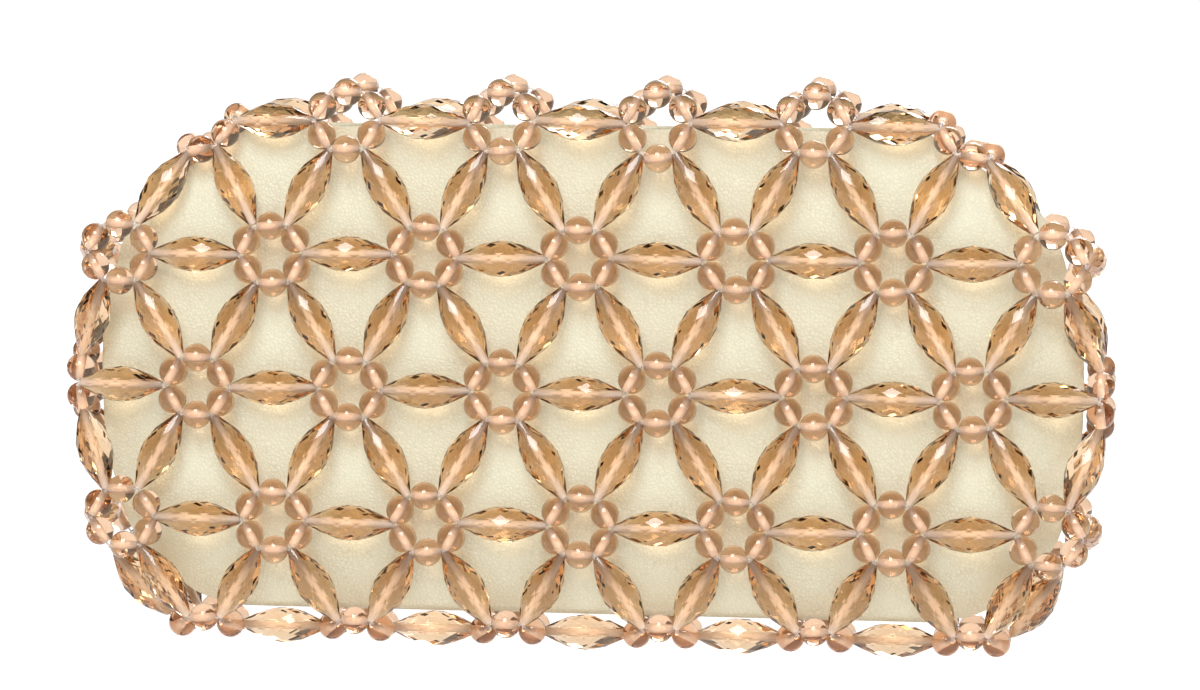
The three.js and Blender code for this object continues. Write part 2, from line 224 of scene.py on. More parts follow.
def leather(name, main, crease_shade_colour, grain):
    """Drum-dyed calf leather with an embossed pebble: soft satin, with fine creases that read as grain,
    their shade painted in a darker colour.
    """
    made, tree = new_material(name)
    place = add_node(tree, "ShaderNodeTexCoord").outputs["Object"]
    # Hides don't crease on a grid, so the pebbles are pushed about before they are drawn.
    warp = add_node(tree, "ShaderNodeTexNoise", {"Scale": 0.7 / grain, "Detail": 3}, {"Vector": place})
    bent = add_node(
        tree, "ShaderNodeVectorMath", {"Scale": 0.9 * grain}, {0: warp.outputs["Color"]}, operation="SCALE"
    )
    moved = add_node(
        tree, "ShaderNodeVectorMath", links={0: place, 1: bent.outputs["Vector"]}, operation="ADD"
    ).outputs["Vector"]
    pebble = add_node(
        tree, "ShaderNodeTexVoronoi", {"Scale": 1 / grain}, {"Vector": moved}, feature="DISTANCE_TO_EDGE"
    )
    crown = add_node(
        tree,
        "ShaderNodeMapRange",
        {"From Max": 0.38},
        {"Value": pebble.outputs["Distance"]},
        interpolation_type="SMOOTHSTEP",
    )
    # Painted shade: the creases between the pebbles are painted darker, deeper in some patches than in
    # others.
    crease_shade_mask = add_node(
        tree,
        "ShaderNodeMapRange",
        {"From Max": 0.12, "To Min": 1.0, "To Max": 0.0},
        {"Value": pebble.outputs["Distance"]},
        interpolation_type="SMOOTHSTEP",
    )
    clouds = add_node(tree, "ShaderNodeTexNoise", {"Scale": 1 / CREASE_SHADE_PATCH, "Detail": 4}, {"Vector": place})
    patchy_crease_shade = add_node(
        tree,
        "ShaderNodeMapRange",
        {"From Min": 0.35, "From Max": 0.7, "To Min": 0.15, "To Max": 0.5},
        {"Value": clouds.outputs["Fac"]},
    )
    share = add_node(
        tree, "ShaderNodeMath", links={0: crease_shade_mask.outputs[0], 1: patchy_crease_shade.outputs[0]}, operation="MULTIPLY"
    )
    tone = add_node(
        tree, "ShaderNodeMix", {"A": main, "B": crease_shade_colour}, {"Factor": share.outputs[0]}, data_type="RGBA"
    )
    # Rubbing polishes the crowns, and the creases stay dull.
    dull_to_shiny = {"To Min": 0.6, "To Max": 0.44}
    shine = add_node(tree, "ShaderNodeMapRange", dull_to_shiny, {"Value": crown.outputs[0]})
    # Pores, a few to each pebble.
    pores = add_node(tree, "ShaderNodeTexNoise", {"Scale": 2.2 / grain, "Detail": 4}, {"Vector": place})
    reliefs = {0: pores.outputs["Fac"], 2: crown.outputs[0]}
    height = add_node(tree, "ShaderNodeMath", {1: 0.8}, reliefs, operation="MULTIPLY_ADD")
    bump = add_node(
        tree, "ShaderNodeBump", {"Strength": 0.8, "Distance": EMBOSSING}, {"Height": height.outputs[0]}
    )
    body = add_node(
        tree,
        "ShaderNodeBsdfPrincipled",
        {"IOR": 1.45},
        {"Base Color": tone.outputs["Result"], "Roughness": shine.outputs[0], "Normal": bump.outputs[0]},
    )
    add_node(tree, "ShaderNodeOutputMaterial", links={"Surface": body.outputs[0]})
    return made


def woven(name, main, spacing, roughness):
    """Plain-woven polyester: crossing threads that give a fine matt tooth."""
    made, tree = new_material(name)
    place = add_node(tree, "ShaderNodeTexCoord").outputs["Object"]
    scale = {"Scale": 1 / (spacing * WAVE_UNIT) * 2 * math.pi}
    weft = add_node(tree, "ShaderNodeTexWave", scale, {"Vector": place}, bands_direction="X").outputs["Fac"]
    warp = add_node(tree, "ShaderNodeTexWave", scale, {"Vector": place}, bands_direction="Z").outputs["Fac"]
    threads = add_node(tree, "ShaderNodeMath", links={0: weft, 1: warp}, operation="MAXIMUM")
    shades = {"A": [c * 0.72 for c in main[:3]] + [1], "B": list(main)}
    tone = add_node(tree, "ShaderNodeMix", shades, data_type="RGBA")
    tree.links.new(threads.outputs[0], tone.inputs[0])
    relief = {"Strength": 0.6, "Distance": THREAD_RELIEF}
    bump = add_node(tree, "ShaderNodeBump", relief, {"Height": threads.outputs[0]})
    body = add_node(
        tree,
        "ShaderNodeBsdfPrincipled",
        {"Roughness": roughness, "Sheen Weight": 0.3},
        {"Base Color": tone.outputs["Result"], "Normal": bump.outputs[0]},
    )
    add_node(tree, "ShaderNodeOutputMaterial", links={"Surface": body.outputs[0]})
    return made


def plated_zinc(name, main):
    """Die-cast zinc, plated and polished: warm mirror shine, a little hazed by handling."""
    made, tree = new_material(name)
    place = add_node(tree, "ShaderNodeTexCoord").outputs["Object"]
    haze = add_node(tree, "ShaderNodeTexNoise", {"Scale": 1 / HANDLING, "Detail": 4}, {"Vector": place})
    rough = add_node(
        tree,
        "ShaderNodeMapRange",
        {"From Min": 0.3, "From Max": 0.7, "To Min": 0.16, "To Max": 0.34},
        {"Value": haze.outputs["Fac"]},
    )
    body = add_node(
        tree,
        "ShaderNodeBsdfPrincipled",
        {"Base Color": list(main), "Metallic": 1.0},
        {"Roughness": rough.outputs[0]},
    )
    add_node(tree, "ShaderNodeOutputMaterial", links={"Surface": body.outputs[0]})
    return made


def pressed_board(name, main):
    """Pressed fibre board: matt, with short fibres in it."""
    made, tree = new_material(name)
    place = add_node(tree, "ShaderNodeTexCoord").outputs["Object"]
    fibres = add_node(tree, "ShaderNodeTexNoise", {"Scale": 1 / FIBRE, "Detail": 5}, {"Vector": place})
    shades = {"A": [c * 0.8 for c in main[:3]] + [1], "B": list(main)}
    tone = add_node(tree, "ShaderNodeMix", shades, data_type="RGBA")
    tree.links.new(fibres.outputs["Fac"], tone.inputs[0])
    colour_in = {"Base Color": tone.outputs["Result"]}
    body = add_node(tree, "ShaderNodeBsdfPrincipled", {"Roughness": 0.9}, colour_in)
    add_node(tree, "ShaderNodeOutputMaterial", links={"Surface": body.outputs[0]})
    return made


def finishes():
    """Every material of the bag, made once."""
    colours = bpy.context.scene.bag_colours
    pouch = bpy.context.scene.bag_pouch
    if "clear_acrylic_round" not in bpy.data.materials:
        acrylic("clear_acrylic_round", list(colours.round_acrylic), 0.02, dye=list(colours.round_dye))
        acrylic("clear_acrylic_long", list(colours.long_acrylic), 0.015, dye=list(colours.long_dye))
        # The drill leaves a bore frosted, so it shows as a milky rod down the middle of a clear bead.
        acrylic("drilled_acrylic", list(colours.bore), 0.35, spread=0.03, clear=0.25)
        # Drawn nylon: a thin clear line that is whitest where it bends.
        acrylic("nylon_line", list(colours.nylon), 0.2, ior=1.53, spread=0.02, clear=0.55)
        leather("pebbled_leather", list(colours.leather), list(colours.leather_crease_shade), pouch.grain)
        woven("woven_lining", list(colours.lining), pouch.thread, 0.55)
        woven("woven_tape", list(colours.tape), 2 * pouch.thread, 0.8)
        plated_zinc("plated_metal", list(colours.metal))
        pressed_board("fibre_board", list(colours.board))
    return bpy.data.materials


# ---- Meshes ----


def mesh_object(name, points, faces, materials, slots=None, smooth=None):
    """A mesh piece from its points and faces. slots and smooth have an entry for each face."""
    data = bpy.data.meshes.new(name)
    data.from_pydata([tuple(p) for p in points], [], [tuple(f) for f in faces])
    for material in materials:
        data.materials.append(material)
    if slots is not None:
        data.polygons.foreach_set("material_index", np.asarray(slots, dtype=np.int32))
    shading = np.ones(len(faces), bool) if smooth is None else np.asarray(smooth, bool)
    data.polygons.foreach_set("use_smooth", shading)
    data.update()
    made = bpy.data.objects.new(name, data)
    bpy.context.scene.collection.objects.link(made)
    return made


def copies(template, matrices):
    """One mesh's points, faces, slots and smoothing repeated at each matrix."""
    points, faces, slots, smooth = template
    all_points, all_faces = [], []
    for i, matrix in enumerate(matrices):
        all_points.append(points @ matrix[:3, :3].T + matrix[:3, 3])
        all_faces += [[v + i * len(points) for v in face] for face in faces]
    return np.vstack(all_points), all_faces, list(slots) * len(matrices), list(smooth) * len(matrices)


def band(near, far, count):
    """The faces that join two rings of points, from the number of each ring's first point."""
    return [[near + i, near + (i + 1) % count, far + (i + 1) % count, far + i] for i in range(count)]


def round_bead(sizes):
    """A sphere with a hole drilled along X. Its second slot is the bore."""
    radius, bore = sizes.round_bead / 2, sizes.bore / 2
    around, along = 28, 16
    rim = math.asin(bore / radius)
    bends = np.linspace(rim, math.pi - rim, along)
    turns = np.arange(around) * 2 * math.pi / around
    rings = [(-radius * math.cos(a), radius * math.sin(a)) for a in bends]
    points = np.array([(x, r * math.cos(t), r * math.sin(t)) for x, r in rings for t in turns])
    faces, slots = [], []
    for ring in range(along):
        following = (ring + 1) % along
        faces += band(ring * around, following * around, around)
        slots += [1 if following == 0 else 0] * around
    return points, faces, slots, [True] * len(faces)


def facet_stations(radius_at, around):
    """Stations, as shares of a bead's half length, that make every diamond between them flat."""
    halvings, shortest = 40, 0.08
    flat = math.cos(math.pi / around)
    stations, slope = [0.0], 0.0
    while True:
        here = stations[-1]
        level = radius_at(here) * flat
        near, far = here, 1.0
        if radius_at(far) > level + slope * (far - here):
            break
        for _ in range(halvings):
            middle = (near + far) / 2
            if radius_at(middle) > level + slope * (middle - here):
                near = middle
            else:
                far = middle
        stations.append(far)
        slope = (radius_at(far) * flat - radius_at(here)) / (far - here)
    if 1 - stations[-1] < shortest:
        stations.pop()
    stations.append(1.0)
    return np.array([-s for s in stations[:0:-1]] + stations)


def long_bead(sizes):
    """A lens-shaped bead along X, cut all over in staggered diamonds. Its second slot is the bore."""
    half, widest, tip, bore = sizes.long_bead / 2, sizes.long_width / 2, sizes.long_tip / 2, sizes.bore / 2
    around = sizes.facets
    taper, spindle = 1.1, 0.78

    def radius_at(share):
        narrowing = max(0, math.cos(share * math.pi / 2)) ** taper
        return tip + (widest - tip) * (spindle * narrowing + (1 - spindle) * (1 - share**2))

    stations = facet_stations(radius_at, around)
    radii = [radius_at(abs(station)) for station in stations]
    points = []
    for ring, (station, radius) in enumerate(zip(stations, radii)):
        for i in range(around):
            turn = (i + 0.5 * (ring % 2)) * 2 * math.pi / around
            points.append((station * half, radius * math.cos(turn), radius * math.sin(turn)))

    def at(ring, i):
        return ring * around + i % around

    last = len(stations) - 1
    faces = []
    for i in range(around):
        faces.append([at(0, i), at(0, i + 1), at(1, i)])
        faces.append([at(last, i + 1), at(last, i), at(last - 1, i)])
        for ring in range(last - 1):
            side = 0 if ring % 2 == 0 else 1
            faces.append([at(ring, i), at(ring + 1, i + side), at(ring + 2, i), at(ring + 1, i - 1 + side)])
    smooth = [False] * len(faces)
    slots = [0] * len(faces)
    ends = len(points)
    for station in (-1, 1):
        for i in range(around):
            turn = i * 2 * math.pi / around
            points.append((station * half, bore * math.cos(turn), bore * math.sin(turn)))
    for i in range(around):
        j = (i + 1) % around
        faces.append([at(0, i + 1), at(0, i), ends + i, ends + j])
        faces.append([at(last, i), at(last, i + 1), ends + around + j, ends + around + i])
        faces.append([ends + j, ends + i, ends + around + i, ends + around + j])
        smooth += [False, False, True]
        slots += [0, 0, 1]
    return np.array(points), faces, slots, smooth


def set_along(centre, axis, roll):
    """The matrix that puts a bead's X axis along axis, turned by roll."""
    along = Vector(axis).normalized()
    matrix = along.to_track_quat("X", "Z").to_matrix() @ Matrix.Rotation(roll, 3, "X")
    full = np.eye(4)
    full[:3, :3] = np.array(matrix)
    full[:3, 3] = centre
    return full


# A direction that no stretch of the line runs along, to measure its sides from.
ASKEW = (0.31, 0.23, 0.92)


def tube(route, radius, sides=6, closed=False):
    """A round tube along a route, as points and faces."""
    route = np.asarray(route)
    count = len(route)
    ahead = np.roll(route, -1, axis=0) - np.roll(route, 1, axis=0)
    if not closed:
        ahead[0], ahead[-1] = route[1] - route[0], route[-1] - route[-2]
    ahead /= np.linalg.norm(ahead, axis=1)[:, None]
    points = []
    for place, along in zip(route, ahead):
        side = np.cross(along, ASKEW)
        side /= np.linalg.norm(side)
        other = np.cross(along, side)
        for i in range(sides):
            turn = 2 * math.pi * i / sides
            points.append(place + radius * (math.cos(turn) * side + math.sin(turn) * other))
    faces = []
    for ring in range(count if closed else count - 1):
        faces += band(ring * sides, (ring + 1) % count * sides, sides)
    if not closed:
        faces.append(list(range(sides))[::-1])
        faces.append([(count - 1) * sides + i for i in range(sides)])
    return points, faces


def rounded(route, step, closed=False):
    """A route with each corner cut by a short curve that starts a step before it."""
    shares = (0, 0.33, 0.67, 1)
    route = [np.asarray(p, dtype=float) for p in route]
    made = [] if closed else [route[0]]
    corners = range(len(route)) if closed else range(1, len(route) - 1)
    for i in corners:
        before, here, after = route[i - 1], route[i], route[(i + 1) % len(route)]
        start = here + (before - here) * min(0.5, step / np.linalg.norm(before - here))
        end = here + (after - here) * min(0.5, step / np.linalg.norm(after - here))
        for t in shares:
            made.append((1 - t) ** 2 * start + 2 * t * (1 - t) * here + t**2 * end)
    return made if closed else made + [route[-1]]


# ---- The net's layout ----

RINGS_IN_ROW = (4, 7, 6, 7)  # from the top row down
RINGS_IN_BASE = 6


class Ring:
    """Six beads on a loop of line. A bent ring folds back about its across line."""

    def __init__(self, centre, across, up, bend=None, turn=0.0):
        self.centre, self.across, self.up = np.asarray(centre, dtype=float), across, up
        self.out, self.bend, self.turn = np.cross(across, up), bend, turn
        self.radius = bpy.context.scene.bag_net.ring_radius
        self.wobble = 0.0
        self.drop = 0.0

    def point(self, distance, degrees):
        """The place at a distance from the ring's middle, anticlockwise from its across line."""
        turn = math.radians(degrees) + self.wobble
        along, rise = distance * math.cos(turn), distance * math.sin(turn)
        place = self.centre + self.across * along
        if self.bend is None:
            return place + self.up * rise
        fold = rise / self.bend
        back = self.bend * (math.cos(fold) - 1)
        return place + self.up * self.bend * math.sin(fold) + self.out * back

    def crossing(self, degrees):
        """Where the line passes from one bead of the ring to the next."""
        return self.point(self.radius / math.cos(math.pi / 6), degrees)

    def bead(self, degrees):
        """The middle of the bead at an angle, and the line's direction there. The lowest one may drop."""
        place = self.point(self.radius, degrees)
        if degrees % 360 == 270:
            place = place - self.up * self.drop
        return place, self.crossing(degrees + 30) - self.crossing(degrees - 30)

    def beads(self):
        """The middle and the direction of each of the six beads."""
        return [self.bead(self.turn + 30 + 60 * i) for i in range(6)]

    def loop(self, offsets, reach):
        """The line's route round the ring, through each crossing and straight along each bead's bore."""
        route = []
        for i, offset in enumerate(offsets):
            place, axis = self.bead(self.turn + 60 * i + 30)
            half = axis / np.linalg.norm(axis) * reach
            route += [self.crossing(self.turn + 60 * i) + offset, place - half, place + half]
        return route


def face_rings(front):
    """The rows of rings on one face, from the top. front is -1 for the front and 1 for the back."""
    net = bpy.context.scene.bag_net
    heights = [net.lowest_row + net.row_step * steps for steps in (3, 2, 1, 0)]
    leaning = np.array([0, -front * math.sin(net.top_lean), math.cos(net.top_lean)])
    rows = []
    for count, height, up in zip(RINGS_IN_ROW, heights, (leaning, Z, Z, Z)):
        places = [(i - (count - 1) / 2) * net.pitch for i in range(count)]
        rows.append([Ring((x, front * net.half_depth, height), X, up) for x in places])
    return rows


def corner_ring(side):
    """The ring folded over the top corner on one side."""
    net = bpy.context.scene.bag_net
    leftward = np.array([-math.cos(net.corner_slope), 0, side * math.sin(net.corner_slope)])
    return Ring((side * net.corner_x, 0, net.corner_z), leftward, FORWARD, net.edge_bend, turn=30)


def side_ring(side):
    """The ring that faces outwards half way up one side."""
    net = bpy.context.scene.bag_net
    return Ring((side * net.side_x, 0, net.lowest_row + net.row_step), FORWARD, Z)


def base_rings():
    """The rings folded under the bag."""
    net = bpy.context.scene.bag_net
    places = [(i - (RINGS_IN_BASE - 1) / 2) * net.pitch for i in range(RINGS_IN_BASE)]
    return [Ring((x, 0, net.base_height), X, FORWARD, net.edge_bend) for x in places]


def net_layout():
    """For each node of the net, its rings and its long beads as (ring, angle, ring, angle)."""
    net, beads = bpy.context.scene.bag_net, bpy.context.scene.bag_beads
    faces = {"front": face_rings(-1), "back": face_rings(1)}
    base = base_rings()
    corners = {side: corner_ring(side) for side in (-1, 1)}
    sides = {side: side_ring(side) for side in (-1, 1)}
    rng = np.random.default_rng(RING_SEED)
    for ring in [r for rows in faces.values() for row in rows for r in row]:
        ring.wobble = rng.uniform(-1, 1) * beads.wobble
    faces["front"][0][2].drop = beads.loose

    def corner_angle(side, face, degrees):
        from_left = 180 - degrees if side < 0 else degrees
        return from_left if face == "front" else -from_left

    nodes = {}
    for face, rows in faces.items():
        front = face == "front"
        for number, row in enumerate(rows):
            links = [(a, 0, b, 180) for a, b in zip(row, row[1:])]
            for side, ring in ((-1, row[0]), (1, row[-1])):
                end = (ring, 180 if side < 0 else 0)
                if number == 0:
                    links.append((*end, corners[side], corner_angle(side, face, 30)))
                if number == 2:
                    links.append((*end, sides[side], 0 if front else 180))
            # Two long beads hang from each ring, to the rings below it or to a side or base ring.
            for ring in row:
                for angle, step in ((240, -1), (300, 1)):
                    target = ring.centre[0] + step * net.pitch / 2
                    side = np.sign(ring.centre[0]) or step
                    lower = base if number == 3 else rows[number + 1]
                    found = [r for r in lower if abs(r.centre[0] - target) < net.pitch / 10]
                    below = 60 if step < 0 else 120
                    if number == 3 and not found:
                        links.append((ring, angle, base[0 if side < 0 else -1], 180 if side < 0 else 0))
                    elif number == 3:
                        links.append((ring, angle, found[0], below if front else -below))
                    elif found:
                        links.append((ring, angle, found[0], below))
                    else:
                        links.append((ring, angle, sides[side], 60 if front else 120))
            nodes[f"net_row_{number + 1}_{face}"] = (row, links)
    nodes["net_base_row"] = (base, [(a, 0, b, 180) for a, b in zip(base, base[1:])])
    for name, side in (("left", -1), ("right", 1)):
        links, hanging = [], []
        for face, rows in faces.items():
            outer, inner = (rows[1][0], rows[1][1]) if side < 0 else (rows[1][-1], rows[1][-2])
            lowest = rows[3][0 if side < 0 else -1]
            links.append((corners[side], corner_angle(side, face, 90), inner, 120 if side < 0 else 60))
            links.append((corners[side], corner_angle(side, face, 150), outer, 60 if side < 0 else 120))
            hanging.append((sides[side], 300 if face == "front" else 240, lowest, 120 if side < 0 else 60))
        nodes[f"net_corner_{name}"] = ([corners[side]], links)
        nodes[f"net_side_ring_{name}"] = ([sides[side]], hanging)
        for level, row in (("upper", 1), ("lower", 3)):
            ends = [faces[face][row][0 if side < 0 else -1] for face in ("front", "back")]
            angle = 180 if side < 0 else 0
            nodes[f"net_tie_{level}_{name}"] = ([], [(ends[0], angle, ends[1], angle)])
    return nodes


# ---- The pouch's form ----

# Right half of the pouch's outline, from the base to the mouth, in millimetres.
OUTLINE = ((0, 8.3), (86, 8.3), (104, 24), (109.3, 48), (109.3, 72), (102, 98.3), (74, 116.5))
SEAM_SHARE = 0.06  # half depth at the seam, as a share of the full half depth
ARC_SHARE = 0.7  # how much of the wedge's rise is a curve, the rest being straight
# How fast the leather's soft hollows come and go, in metres for each radian.
BROAD_ACROSS, BROAD_UP = 23 * MM, 17 * MM
FINE_ACROSS, FINE_UP = 9 * MM, 31 * MM
FINE_DEPTH, FINE_SLANT = 0.6, 0.6
BROAD_START, SIDE_START = 0.6, 1.7  # in radians; the second keeps the two faces unlike


def pouch_outline(cut):
    """The outline's right half with its corners rounded, as an array of (x, z) in metres."""
    return np.array(rounded([(x * MM, z * MM) for x, z in OUTLINE], cut))


def edge_distance(points, line):
    """How far each (x, z) point is from an outline."""
    nearest = np.full(len(points), 1.0)
    for a, b in zip(line, line[1:]):
        along = b - a
        share = np.clip(((points - a) @ along) / max(along @ along, 1e-12), 0, 1)
        nearest = np.minimum(nearest, np.linalg.norm(points - a - share[:, None] * along, axis=1))
    return nearest


def swell(distance, pouch):
    """Half depth of the pouch at a distance from its seam."""
    share = np.clip(distance / pouch.wedge, 0, 1)
    rise = ARC_SHARE * np.sin(share * math.pi / 2) + (1 - ARC_SHARE) * share
    return pouch.half_depth * (SEAM_SHARE + (1 - SEAM_SHARE) * rise)


def hollows(xs, zs, side):
    """The soft hollows of stretched leather at each place: broad ones, and finer slanting ones."""
    broad = np.sin(xs / BROAD_ACROSS + SIDE_START * side) * np.sin(zs / BROAD_UP + BROAD_START)
    fine = np.sin((xs + FINE_SLANT * zs) / FINE_ACROSS) * np.sin(zs / FINE_UP)
    return np.abs(broad + FINE_DEPTH * fine)


def grid_shell(name, skins, side, material):
    """A thin piece from two skins of points, each in rows and columns, joined all round their edges."""
    rows, columns = skins[0].shape[0] - 1, skins[0].shape[1] - 1
    count = (rows + 1) * (columns + 1)

    def at(r, c):
        return r * (columns + 1) + c

    faces = []
    for r in range(rows):
        for c in range(columns):
            quad = [at(r, c), at(r, c + 1), at(r + 1, c + 1), at(r + 1, c)]
            faces.append(quad)
            faces.append([v + count for v in quad[::-1]])
    border = [at(0, c) for c in range(columns)] + [at(r, columns) for r in range(rows)]
    border += [at(rows, c) for c in range(columns, 0, -1)] + [at(r, 0) for r in range(rows, 0, -1)]
    for a, b in zip(border, border[1:] + border[:1]):
        faces.append([b, a, a + count, b + count])
    if side > 0:
        faces = [face[::-1] for face in faces]
    points = np.vstack([skin.reshape(-1, 3) for skin in skins])
    return mesh_object(name, points, faces, [material])


def panel(name, side, top, inset, thickness, material):
    """One side of a pouch, open at the top, where its edge is rolled round. Returns it and its flat cut."""
    pouch = bpy.context.scene.bag_pouch
    columns, rows, lip, closed = 150, 72, 5, 0.98
    least_outer, least_inner = 0.25 * MM, 0.01 * MM
    # The columns crowd towards the sides, where the wedge curves.
    crowding = math.pi / 2 * 0.86
    line = pouch_outline(pouch.corner)
    # A lining is cut in from the seam by more than its inset, because the wedge is thin there.
    slack = inset * 2.2
    sink = slack * 0.4
    low = line[0, 1] + slack
    turns = np.linspace(0, math.pi / 2, lip)
    roll = thickness / 2
    wall = np.linspace(low, top - roll, rows, endpoint=False)
    heights = np.append(wall, top - roll + roll * np.sin(turns))
    pinch = np.append(np.zeros(rows), roll * closed * (1 - np.cos(turns)))[:, None]
    widths = np.interp(heights, line[:, 1] + sink, line[:, 0]) - slack
    across = np.sin(np.linspace(-1, 1, columns + 1) * crowding) / math.sin(crowding)
    xs = widths[:, None] * across[None, :]
    zs = np.repeat(heights[:, None], columns + 1, axis=1)
    flat = np.column_stack([np.abs(xs).ravel(), zs.ravel()])
    depth = swell(edge_distance(flat, line), pouch).reshape(xs.shape)
    sunk = pouch.ripple * hollows(xs, zs, side) * (inset == 0)
    outer = np.maximum(depth - inset - sunk - pinch, least_outer)
    inner = np.maximum(depth - inset - sunk + pinch - thickness, least_inner)
    skins = [np.dstack([xs, side * skin, zs]) for skin in (outer, inner)]
    cut = {
        "flat": (2 * float(widths.max()), float(heights[-1] - heights[0])),
        "area": float(np.sum((widths[1:] + widths[:-1]) * np.diff(heights))),
    }
    return grid_shell(name, skins, side, material), cut


def tape_sheet(name, side, low, high, material):
    """A zip tape: level beside the teeth, with a corded edge there, then bent down to its sewn leg.

    Returns it and its width when flat.
    """
    bend, thick, gap = 1.1 * MM, 0.36 * MM, 0.02 * MM
    corded, cord_width, cord_rise = 0.5 * MM, 0.5 * MM, 0.05 * MM
    bend_steps, leg_steps, columns = 9, 14, 125
    inner, outer = min(abs(low.y), abs(high.y)), max(abs(low.y), abs(high.y)) - gap
    level = high.z - gap
    turns = np.linspace(0, math.pi / 2, bend_steps)
    # Each point across the level part: its distance from the middle, its height and the thickness there.
    top = [(inner + gap / 2, level - gap, corded), (inner + cord_width / 2, level + cord_rise, corded)]
    top += [(inner + cord_width, level, thick), (outer - bend, level, thick)]
    arc = [(outer - bend + bend * math.sin(t), level - bend + bend * math.cos(t)) for t in turns]
    leg = [(outer, z) for z in np.linspace(level - bend, low.z, leg_steps)[1:]]
    outside = np.array([(y, z) for y, z, _ in top] + arc[1:] + leg)
    inside = [(y, z - t) for y, z, t in top]
    inside += [(y - thick * math.sin(t), z - thick * math.cos(t)) for (y, z), t in zip(arc[1:], turns[1:])]
    inside = np.array(inside + [(y - thick, z) for y, z in leg])
    xs = np.linspace(low.x, high.x, columns)
    # Stitching draws the tape down a little, unevenly.
    drawn, short_wave, long_wave = 0.06 * MM, 5 * MM, 13 * MM
    sway = np.abs(drawn * np.sin(xs / short_wave) * np.sin(xs / long_wave))
    skins = []
    for form in (outside, inside):
        skin = np.zeros((len(form), len(xs), 3))
        skin[:, :, 0] = xs[None, :]
        skin[:, :, 1] = side * (form[:, None, 0] - sway[None, :] * 0.5)
        skin[:, :, 2] = form[:, None, 1] - sway[None, :]
        skins.append(skin)
    width = float(np.sum(np.linalg.norm(np.diff(outside, axis=0), axis=1)))
    return grid_shell(name, skins, -side, material), width


# ---- Operators ----

ANY_ROLL = 6.28  # a bead may lie rolled to any angle on its line, in radians
SPREAD = 0.5  # of a bead's play
TILT = 0.03  # of a ring bead's direction
STRAND_SPREAD, ENTRY_SPREAD = 0.6, 0.7  # of the line's radius, so that its strands don't lie in one another
LOOSE_END = "net_row_1_front"  # the part of the net where the line was tied off
# The trimmed end of the line, from its knot, in millimetres.
TAIL = ((0, 0, 0), (0.4, -1.2, 0.9), (1.6, -2.2, 2.6), (1.2, -2.6, 4.9))
# The zip's metal pieces beside its teeth, and the body that each rides on.
HARDWARE = {
    "zip_stop_left": BODY,
    "zip_stop_right": BODY,
    "zip_slider": "zip_slider",
    "zip_pull": "zip_pull",
}


class BAG_OT_beads(bpy.types.Operator):
    """Builds the round and the long beads of every part of the net"""

    bl_idname = "bag.beads"
    bl_label = "Beads"

    def execute(self, context):
        sizes = context.scene.bag_beads
        materials = finishes()
        rng = np.random.default_rng(BEAD_SEED)
        small, large = round_bead(sizes), long_bead(sizes)
        for node, (rings, links) in net_layout().items():
            part = node.removeprefix("net_")
            strung, spans = [], []
            for place, axis in [bead for ring in rings for bead in ring.beads()]:
                off = rng.normal(0, SPREAD, 3) * sizes.play
                tilt = rng.normal(0, TILT, 3) * np.linalg.norm(axis)
                strung.append(set_along(place + off, axis + tilt, rng.uniform(0, ANY_ROLL)))
            for ring, angle, other, other_angle in links:
                start, end = ring.crossing(angle), other.crossing(other_angle)
                off = rng.normal(0, SPREAD, 3) * sizes.play
                spans.append(set_along((start + end) / 2 + off, end - start, rng.uniform(0, ANY_ROLL)))
            for name, shape, matrices, finish in (
                ("round_beads_", small, strung, "clear_acrylic_round"),
                ("long_beads_", large, spans, "clear_acrylic_long"),
            ):
                if not matrices:
                    continue
                points, faces, slots, smooth = copies(shape, matrices)
                finish_and_bore = [materials[finish], materials["drilled_acrylic"]]
                made = mesh_object(name + part, points, faces, finish_and_bore, slots, smooth)
                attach(made, BODY)
                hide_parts(node)
        return {"FINISHED"}


class BAG_OT_line(bpy.types.Operator):
    """Threads the nylon line through the beads, round each ring and out to each long bead"""

    bl_idname = "bag.line"
    bl_label = "Nylon line"

    def execute(self, context):
        sizes = context.scene.bag_beads
        material = finishes()["nylon_line"]
        rng = np.random.default_rng(LINE_SEED)
        radius = sizes.line / 2
        straight = 0.42 * sizes.round_bead
        bend, entry_bend, entry = 0.9 * MM, 0.8 * MM, 0.25 * MM
        for node, (rings, links) in net_layout().items():
            tubes = []
            for ring in rings:
                for _ in range(2):
                    route = ring.loop(rng.normal(0, STRAND_SPREAD, (6, 3)) * radius, straight)
                    tubes.append(tube(rounded(route, bend, closed=True), radius, closed=True))
            for ring, angle, other, other_angle in links:
                start, end = ring.crossing(angle), other.crossing(other_angle)
                along = (end - start) / np.linalg.norm(end - start)
                for turn in (-30, 30):
                    first, last = ring.bead(angle + turn)[0], other.bead(other_angle + turn)[0]
                    off = rng.normal(0, ENTRY_SPREAD, (2, 3)) * radius
                    route = [first, start + off[0] - entry * along, end + off[1] + entry * along, last]
                    tubes.append(tube(rounded(route, entry_bend), radius))
            if node == LOOSE_END:
                knot = rings[2].crossing(180)
                tail = [knot + np.array(step) * MM for step in TAIL]
                tubes.append(tube(rounded(tail, bend), radius))
            points, faces = [], []
            for some_points, some_faces in tubes:
                faces += [[v + len(points) for v in face] for face in some_faces]
                points += list(some_points)
            made = mesh_object("line_" + node.removeprefix("net_"), points, faces, [material])
            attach(made, BODY)
        return {"FINISHED"}


